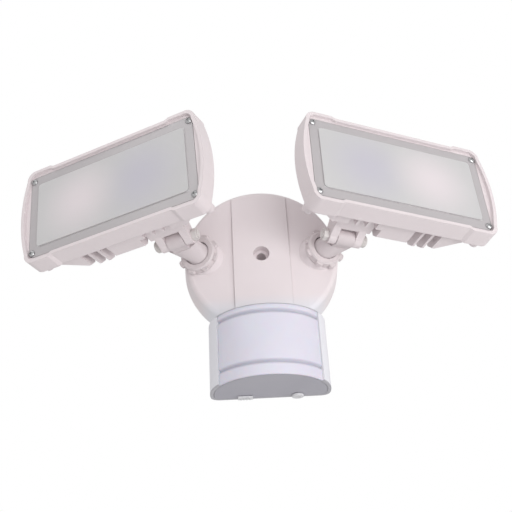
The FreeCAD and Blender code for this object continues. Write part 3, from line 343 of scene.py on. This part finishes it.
def frosted_cover(side):
    centre, axes = heads[side]
    half_length, half_height = window_half(side)
    outer, inner = lamp_spots(side)
    material, tree = start(f"frosted_polycarbonate_{side}")
    place = add(tree, "ShaderNodeTexCoord").outputs["Object"]
    local = add(tree, "ShaderNodeMapping",
                {"Vector": place, "Location": centre, "Rotation": axes.to_euler()},
                vector_type="TEXTURE")
    drift, frost = (
        add(tree, "ShaderNodeTexNoise", {"Vector": where, "Scale": scale_of(size), "Detail": detail})
        for where, size, detail in ((place, PANE_DRIFT_MM, DRIFT_DETAIL),
                                    (local, FROST_MM, GRAIN_DETAIL)))
    parts = add(tree, "ShaderNodeSeparateXYZ", {"Vector": local}).outputs
    window = add(tree, "ShaderNodeMath",
                 {0: inside(tree, parts["X"], half_length), 1: inside(tree, parts["Z"], half_height)},
                 operation="MULTIPLY")
    tone = "#CBC9CA"
    for share, tint in ((drift, "#D2D1D1"), (glow(tree, local, inner), "#C8C5CF"),
                        (glow(tree, local, outer), "#E6DDE0")):
        tone = add(tree, "ShaderNodeMix", {FACTOR: share, FIRST: tone, SECOND: tint},
                   data_type="RGBA")
    tone = add(tree, "ShaderNodeMix", {FACTOR: window, FIRST: "#BEB9BB", SECOND: tone},
               data_type="RGBA")
    height = add(tree, "ShaderNodeMath", {0: frost, 1: window}, operation="MULTIPLY")
    bump = add(tree, "ShaderNodeBump", {"Height": height, "Distance": FROST_DEPTH})
    gloss = add(tree, "ShaderNodeMapRange",
                {"Value": window, "To Min": CLEAR_ROUGH, "To Max": FROST_ROUGH})
    close(tree, tone, gloss, bump, **{"IOR": 1.58, "Transmission Weight": 0.12})
    return material


for side in SIDES:
    dress(frosted_cover(side), f"head_lens_{side}")

# %% [markdown]
# ## Rubber, foam and the hidden mouldings
# The seals keep rain out: silicone under the covers, closed-cell foam against the wall and a rubber
# bush for the wires. Rubber is matt and its grain is coarse. The tray behind the canopy is a plain
# grey moulding. The slider and the dial under the sensor are white nylon on black switch bodies.

# %% Seals and small mouldings
dress(finish("silicone_seal", "#8C8C8C", "#979797", 20, 0.8, 0.04, (0.6, 0.75)),
      *both("lens_gasket"))
dress(finish("closed_cell_foam", "#1C1C1D", "#262627", 12, 1.1, 0.25, (0.8, 0.95)),
      "wall_gasket")
dress(finish("moulded_epdm_rubber", "#141414", "#1B1B1B", 15, 0.6, 0.05, (0.6, 0.75)),
      "wire_grommet")
dress(finish("moulded_grey_abs", "#9A9A9A", "#A5A5A5", 40, 0.8, 0.04, (0.45, 0.6)),
      "wiring_tray")
dress(finish("moulded_white_nylon", "#D6D5D8", "#DFDEE0", 15, 0.7, 0.04, (0.4, 0.55)),
      "time_switch", "range_dial")
dress(finish("moulded_black_nylon", "#161616", "#202020", 15, 0.7, 0.04, (0.4, 0.55)),
      "switch_body", "potentiometer")

# %% [markdown]
# ## Metal fasteners
# The screws behind the canopy are zinc-plated steel, bright but slightly blurred by the plating, the
# screws of the covers are stainless, and the detector's can has a smooth nickel plating. Metals take
# their colour from the reflection, so the base colour is the tint of that reflection and the
# metallic weight is full. The tilt bolts and their nuts are painted to match the castings, so their
# finish is a hard satin enamel and no metal shows.

# %% Plated, stainless and painted steel
dress(finish("zinc_plated_steel", "#A9ABAD", "#B9BABC", 4, 0.5, 0.03, (0.28, 0.42), Metallic=1.0),
      "tray_screws")
dress(finish("turned_stainless_steel", "#B4B4B5", "#C6C6C7", 3, 0.4, 0.02, (0.2, 0.34), Metallic=1.0),
      *both("lens_screws"))
dress(finish("nickel_plated_can", "#A8A8A4", "#B6B6B2", 3, 0.5, 0.01, (0.2, 0.3), Metallic=1.0),
      "pir_detector")
satin_enamel = finish("satin_enamel_on_steel", "#CFCAC8", "#DAD5D3", 5, 0.6, 0.02, (0.3, 0.42))
dress(satin_enamel, *both("hinge_bolt", "hinge_nut"))

# %% [markdown]
# ## Electronics
# Most of this is out of sight, but the frosted windows let some light through to the reflectors
# and the light sources, and the tray can be taken off. Solder mask is a thin glossy lacquer over
# the glass fibre's weave; the phosphor over an LED's chips is a soft yellow silicone.

# %% Boards, parts and light sources
dress(finish("green_solder_mask", "#0E3A22", "#12472A", 8, 0.6, 0.03, (0.25, 0.4)),
      "driver_board", "control_board", "pir_board")
dress(finish("white_solder_mask_on_aluminium", "#DCDCD8", "#E8E8E4", 12, 0.6, 0.02, (0.3, 0.42)),
      *both("led_board"))
dress(finish("moulded_white_reflector", "#E2E2E2", "#ECECEC", 25, 0.8, 0.02, (0.2, 0.32)),
      *both("reflector"))
dress(finish("phosphor_in_silicone", "#D9B23C", "#E8C860", 2, 0.4, 0.05, (0.35, 0.5)),
      *both("leds"))
dress(finish("transformer_tape", "#B8962A", "#C8A634", 6, 0.8, 0.04, (0.4, 0.55)),
      "driver_transformer")
dress(finish("capacitor_sleeve", "#16203A", "#1E2A48", 6, 0.7, 0.02, (0.22, 0.35)),
      "driver_capacitors")
dress(finish("moulded_relay_case", "#1C3C72", "#244886", 8, 0.6, 0.02, (0.25, 0.4)),
      "relay")

# %% [markdown]
# ## Knurled tilt bolts
# A hand tightens each tilt bolt, so its round head has straight knurling: close to thirty ridges
# along its rim. Modelling them one by one would be slow to change. Geometry Nodes place one ridge on
# every point of a circle, and the number, radius and size stay inputs of the tree. The head of each
# bolt is measured first, so that the ridges land on it.

# %% Measure the head of each bolt
RIM_BAND = 0.02 * MM    # points this near the largest radius belong to the rim


def bolt_place(side):
    """Middle of the round head of the tilt bolt, with +Z along the bolt, its radius and length."""
    axis = Vector(joints[f"head_{side}_tilt"]["axis"]).normalized()
    pin = Vector(joints[f"head_{side}_tilt"]["pos_m"])
    ways = [vertex.co - pin for vertex in nodes[f"hinge_bolt_{side}"].data.vertices]
    along = [way.dot(axis) for way in ways]
    around = [(way - axis * way.dot(axis)).length for way in ways]
    radius = max(around)
    rim = [a for a, r in zip(along, around) if r > radius - RIM_BAND]
    turn = axis.to_track_quat("Z", "Y").to_matrix().to_4x4()
    middle = pin + axis * (min(rim) + max(rim)) / 2
    return Matrix.Translation(middle) @ turn, radius, max(rim) - min(rim)


bolts = {side: bolt_place(side) for side in SIDES}
for side, (_, radius, length) in bolts.items():
    print(side, "bolt head: radius", round(radius / MM, 2), "length", round(length / MM, 2), "mm")


# %% A tree that puts ridges round a rim
def knurl_tree(material):
    tree = bpy.data.node_groups.new("knurled_rim", "GeometryNodeTree")
    face = tree.interface
    for name, kind in (("Count", "NodeSocketInt"), ("Rim radius", "NodeSocketFloat"),
                       ("Ridge width", "NodeSocketFloat"), ("Ridge length", "NodeSocketFloat"),
                       ("Ridge sides", "NodeSocketInt")):
        face.new_socket(name, in_out="INPUT", socket_type=kind)
    face.new_socket("Geometry", in_out="OUTPUT", socket_type="NodeSocketGeometry")
    given = add(tree, "NodeGroupInput").outputs
    rim = add(tree, "GeometryNodeMeshCircle",
              {"Vertices": given["Count"], "Radius": given["Rim radius"]})
    ridge = add(tree, "GeometryNodeMeshCylinder",
                {"Vertices": given["Ridge sides"], "Radius": given["Ridge width"],
                 "Depth": given["Ridge length"]})
    spots = add(tree, "GeometryNodeInstanceOnPoints", {"Points": rim, "Instance": ridge})
    whole = add(tree, "GeometryNodeRealizeInstances", {"Geometry": spots})
    painted = add(tree, "GeometryNodeSetMaterial", {"Geometry": whole, "Material": material})
    add(tree, "NodeGroupOutput", {"Geometry": painted})
    return tree


knurls = knurl_tree(satin_enamel)
print("the knurling's tree has", len(knurls.nodes), "nodes")

# %% [markdown]
# A tree like that makes one shape about its own origin. The next helper runs it on an empty mesh
# with the sizes that it is given, turns the result into a plain mesh, and carries the mesh to its
# place in the frame, so that the finished piece sits at the origin as the CAD nodes do.

# %% Knurl both bolts
KNURLS = 28
RIDGE_SIDES = 6
RIDGE_RADIUS = 0.38 * MM
RIDGE_SHARE = 0.92    # of the rim's length


def grown(name, tree, sizes, place, body, wall=0.0):
    """A wall gives an open sheet its thickness, inwards."""
    seed = bpy.data.objects.new(name + "_seed", bpy.data.meshes.new(name + "_seed"))
    bpy.context.scene.collection.objects.link(seed)
    grow = seed.modifiers.new("grow", "NODES")
    grow.node_group = tree
    sockets = {s.name: s.identifier for s in tree.interface.items_tree if s.in_out == "INPUT"}
    for label, value in sizes.items():
        grow[sockets[label]] = value
    if wall:
        seed.modifiers.new("solid", "SOLIDIFY").thickness = wall
    evaluated = seed.evaluated_get(bpy.context.evaluated_depsgraph_get())
    mesh = bpy.data.meshes.new_from_object(evaluated)
    bpy.data.objects.remove(seed)
    mesh.transform(place)
    piece = bpy.data.objects.new(name, mesh)
    bpy.context.scene.collection.objects.link(piece)
    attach(piece, body)
    print(name, len(mesh.polygons), "faces")
    return piece


for side, (place, radius, length) in bolts.items():
    ridges = grown(f"bolt_knurling_{side}", knurls,
                   {"Count": KNURLS, "Rim radius": radius, "Ridge width": RIDGE_RADIUS,
                    "Ridge length": length * RIDGE_SHARE, "Ridge sides": RIDGE_SIDES},
                   place, f"head_{side}")

# %% [markdown]
# ## The sensor's milky lens
# The detector sees heat through a thin curved sheet of high-density polyethylene. It is milky and
# slightly blue, waxy to the touch, and its lenses are pressed into the inner side, so the outside
# stays smooth. Some light goes in and scatters, which subsurface scattering gives in a thin wall.
#
# The sheet follows a rule: it is part of a cylinder, with one shallow rounded channel near its top
# and one near its bottom where it is clipped in. The CAD solid has square channels, which shade too
# hard. A tree makes the rounded ones: a flat grid is rolled round the axis, and every point is drawn
# in by a cosine of its height above the middle of a channel. The radius, the angle and the heights
# are measured on the CAD solid, so the sheet fits the case.

# %% Measure the sheet
sheet_points = [vertex.co for vertex in nodes["sensor_lens"].data.vertices]
sheet_low, sheet_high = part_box("sensor_lens")
corner = max(sheet_points, key=lambda point: (round(point.x, 5), -point.y))
sagitta = corner.y - sheet_low.y
SHEET_R = (corner.x ** 2 + sagitta ** 2) / (2 * sagitta)
SHEET_ANGLE = math.asin(corner.x / SHEET_R)
SHEET_AXIS_Y = sheet_low.y + SHEET_R
edges = sorted({round(point.z / MM, 2) for point in sheet_points})    # bottom, channels' edges, top
CHANNELS = [((low + high) / 2 * MM, (high - low) * MM) for low, high in (edges[1:3], edges[3:5])]
print("sheet radius", round(SHEET_R / MM, 2), "mm, half angle", round(math.degrees(SHEET_ANGLE), 1))
print("heights of the edges", edges, "middles and widths of the channels", CHANNELS)


# %% Milky polyethylene
def milky_polyethylene():
    """A shade darker in the channels: painted shade for the hollows of the grooves."""
    material, tree = start("milky_polyethylene_sheet")
    place, drift, gloss, normal = layers(tree, 30, 1.2, 0.02, (0.38, 0.5))
    height = add(tree, "ShaderNodeSeparateXYZ", {"Vector": place}).outputs["Z"]
    tone = add(tree, "ShaderNodeMix", {FACTOR: drift, FIRST: "#CFCCD9", SECOND: "#DAD8E3"},
               data_type="RGBA")
    for middle, width in CHANNELS:
        above = add(tree, "ShaderNodeMath", {0: height, 1: middle}, operation="SUBTRACT")
        away = add(tree, "ShaderNodeMath", {0: above}, operation="ABSOLUTE")
        near = add(tree, "ShaderNodeMapRange", {"Value": away, "From Min": width, "From Max": 0.0},
                   interpolation_type="SMOOTHSTEP")
        # painted shade: the sheet turns greyer towards the middle of each channel
        tone = add(tree, "ShaderNodeMix", {FACTOR: near, FIRST: tone, SECOND: "#B3B1BE"},
                   data_type="RGBA")
    close(tree, tone, gloss, normal,
          **{"Subsurface Weight": 0.3, "Subsurface Scale": 1.0 * MM, "IOR": 1.52})
    return material


milky = milky_polyethylene()
print("made", milky.name)

# %% A tree that rolls a sheet and presses channels into it
SHEET_COLUMNS, SHEET_ROWS = 97, 161


def channel_dip(tree, height, given, label):
    """1 in the middle of a channel and 0 at its edges, along a cosine."""
    away = add(tree, "ShaderNodeMath", {0: height, 1: given[f"{label} height"]},
               operation="SUBTRACT")
    turn = add(tree, "ShaderNodeMath", {0: away, 1: given["Channel width"]}, operation="DIVIDE")
    size = add(tree, "ShaderNodeMath", {0: turn}, operation="ABSOLUTE")
    near = add(tree, "ShaderNodeMath", {0: size, 1: 0.5}, operation="LESS_THAN")
    dip = turn
    for operation, number in (("MULTIPLY", math.tau), ("COSINE", 0.0), ("ADD", 1.0),
                              ("MULTIPLY", 0.5), ("MULTIPLY", near)):
        dip = add(tree, "ShaderNodeMath", {0: dip, 1: number}, operation=operation)
    return dip


def sheet_tree(material):
    """The grid's X is the angle round the axis, and its Y is the height above the middle."""
    tree = bpy.data.node_groups.new("rolled_sheet", "GeometryNodeTree")
    face = tree.interface
    for name in ("Radius", "Half angle", "Bottom", "Top", "Lower height", "Upper height",
                 "Channel width", "Channel depth"):
        face.new_socket(name, in_out="INPUT", socket_type="NodeSocketFloat")
    face.new_socket("Geometry", in_out="OUTPUT", socket_type="NodeSocketGeometry")
    given = add(tree, "NodeGroupInput").outputs
    tall, reach = (
        add(tree, "ShaderNodeMath", {0: given["Top"], 1: given["Bottom"]}, operation=operation)
        for operation in ("SUBTRACT", "ADD"))
    middle = add(tree, "ShaderNodeMath", {0: reach, 1: 0.5}, operation="MULTIPLY")
    wide = add(tree, "ShaderNodeMath", {0: given["Half angle"], 1: 2.0}, operation="MULTIPLY")
    flat = add(tree, "GeometryNodeMeshGrid", {"Size X": wide, "Size Y": tall,
                                              "Vertices X": SHEET_COLUMNS, "Vertices Y": SHEET_ROWS})
    here = add(tree, "ShaderNodeSeparateXYZ",
               {"Vector": add(tree, "GeometryNodeInputPosition")}).outputs
    height = add(tree, "ShaderNodeMath", {0: here["Y"], 1: middle}, operation="ADD")
    dips = add(tree, "ShaderNodeMath", {0: channel_dip(tree, height, given, "Lower"),
                                        1: channel_dip(tree, height, given, "Upper")},
               operation="ADD")
    depth = add(tree, "ShaderNodeMath", {0: dips, 1: given["Channel depth"]}, operation="MULTIPLY")
    radius = add(tree, "ShaderNodeMath", {0: given["Radius"], 1: depth}, operation="SUBTRACT")
    forward = add(tree, "ShaderNodeMath", {0: radius, 1: -1.0}, operation="MULTIPLY")
    sine, cosine = (add(tree, "ShaderNodeMath", {0: here["X"]}, operation=operation)
                    for operation in ("SINE", "COSINE"))
    across, front = (add(tree, "ShaderNodeMath", {0: arm, 1: share}, operation="MULTIPLY")
                     for arm, share in ((radius, sine), (forward, cosine)))
    rolled = add(tree, "ShaderNodeCombineXYZ", {"X": across, "Y": front, "Z": height})
    moved = add(tree, "GeometryNodeSetPosition", {"Geometry": flat, "Position": rolled})
    soft = add(tree, "GeometryNodeSetShadeSmooth", {"Geometry": moved})
    whole = add(tree, "GeometryNodeRealizeInstances", {"Geometry": soft})
    painted = add(tree, "GeometryNodeSetMaterial", {"Geometry": whole, "Material": material})
    add(tree, "NodeGroupOutput", {"Geometry": painted})
    return tree


roll = sheet_tree(milky)
print("the sheet's tree has", len(roll.nodes), "nodes")

# %% Roll the sheet
SHEET_T = 1.4 * MM
CHANNEL_DEPTH = 1.1 * MM
CHANNEL_SPREAD = 1.6    # the rounded channel is wider than the square one that it stands for
(lower, channel_width), (upper, _) = CHANNELS
sheet = grown("milky_sensor_sheet", roll,
              {"Radius": SHEET_R, "Half angle": SHEET_ANGLE, "Bottom": sheet_low.z,
               "Top": sheet_high.z, "Lower height": lower, "Upper height": upper,
               "Channel width": channel_width * CHANNEL_SPREAD, "Channel depth": CHANNEL_DEPTH},
              Matrix.Translation((0, SHEET_AXIS_Y, 0)), "light_body", wall=SHEET_T)
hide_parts("sensor_lens")

# %% [markdown]
# ## The floor, the light and the camera
# A product photograph has light from all round and a soft key. Here the key stands in front, below
# and to the right, near the camera, with a second lamp further round to the right, so the
# undersides of the heads and the lower half of the canopy are bright and the top of the canopy lies
# in the heads' shade. The world gives the even light. The background stays pure white because only
# the camera and clear pieces see the world at full strength. The floor lies well below the light
# and the camera, since the light hangs high on its wall and the camera looks up at it.

# %% Floor
FLOOR_DROP = 0.55
FLOOR_HALF = 4
floor_mesh = bpy.data.meshes.new("floor")
floor_mesh.from_pydata([(x * FLOOR_HALF, y * FLOOR_HALF, -FLOOR_DROP)
                        for x, y in ((-1, -1), (1, -1), (1, 1), (-1, 1))], [], [(0, 1, 2, 3)])
floor = bpy.data.objects.new("floor", floor_mesh)
bpy.context.scene.collection.objects.link(floor)
floor_mesh.materials.append(finish("painted_studio_floor", "#EFEFEF", "#F4F4F4", 300, 4, 0.05,
                                   (0.7, 0.85)))
print("floor", FLOOR_DROP, "m below the middle of the canopy")

# %% World
WORLD_LEVEL = 0.72
world = bpy.data.worlds.new("studio")
bpy.context.scene.world = world
world.use_nodes = True
sky = world.node_tree
sky.nodes.clear()
ray = add(sky, "ShaderNodeLightPath").outputs
seen = add(sky, "ShaderNodeMath", {0: ray["Is Camera Ray"], 1: ray["Is Transmission Ray"]},
           operation="MAXIMUM")
level = add(sky, "ShaderNodeMapRange", {"Value": seen, "To Min": WORLD_LEVEL, "To Max": 1.0})
shine = add(sky, "ShaderNodeBackground", {"Color": (1, 1, 1, 1), "Strength": level})
add(sky, "ShaderNodeOutputWorld", {"Surface": shine})
print("world level", WORLD_LEVEL)

# %% Lamps
LAMPS = (    # name, place, side of the square and watts
    ("key_low_right", (0.5, -1.3, -0.42), 0.7, 7.6),
    ("side_right", (0.9, -0.6, -0.4), 0.5, 3),
    ("top_left", (-0.8, -0.9, 1.1), 0.9, 3))

for name, spot, size, power in LAMPS:
    lamp = bpy.data.lights.new(name, "AREA")
    lamp.shape = "SQUARE"
    lamp.size = size
    lamp.energy = power
    holder = bpy.data.objects.new(name, lamp)
    holder.location = spot
    holder.rotation_euler = (-Vector(spot)).to_track_quat("-Z", "Y").to_euler()    # to the origin
    bpy.context.scene.collection.objects.link(holder)
    print(name, power, "W")

# %% [markdown]
# The camera's place and direction were fitted to the photograph: it stands half a metre in front,
# a quarter of a metre below the canopy, and looks up. The columns of its matrix are its right, its
# up and the way behind it.

# %% Camera
SENSOR_MM = 36.0
FOCAL_PIXELS = 743.83
FRAME_PIXELS = 512
NEAREST = 0.01
right = Vector((0.99875, -0.00047, -0.04998))
up = Vector((0.04398, -0.46683, 0.88325))
ahead = Vector((0.02375, 0.88435, 0.46622))
eye = Vector((-17.61, -526.73, -265.21)) * MM
lens = bpy.data.cameras.new("camera")
lens.sensor_width = SENSOR_MM
lens.lens = FOCAL_PIXELS * SENSOR_MM / FRAME_PIXELS
lens.clip_start = NEAREST
camera = bpy.data.objects.new("camera", lens)
camera.matrix_world = Matrix.Translation(eye) @ Matrix((right, up, -ahead)).transposed().to_4x4()
bpy.context.scene.collection.objects.link(camera)
bpy.context.scene.camera = camera
bpy.context.scene.view_settings.view_transform = "Standard"
print("lens", round(lens.lens, 2), "mm")
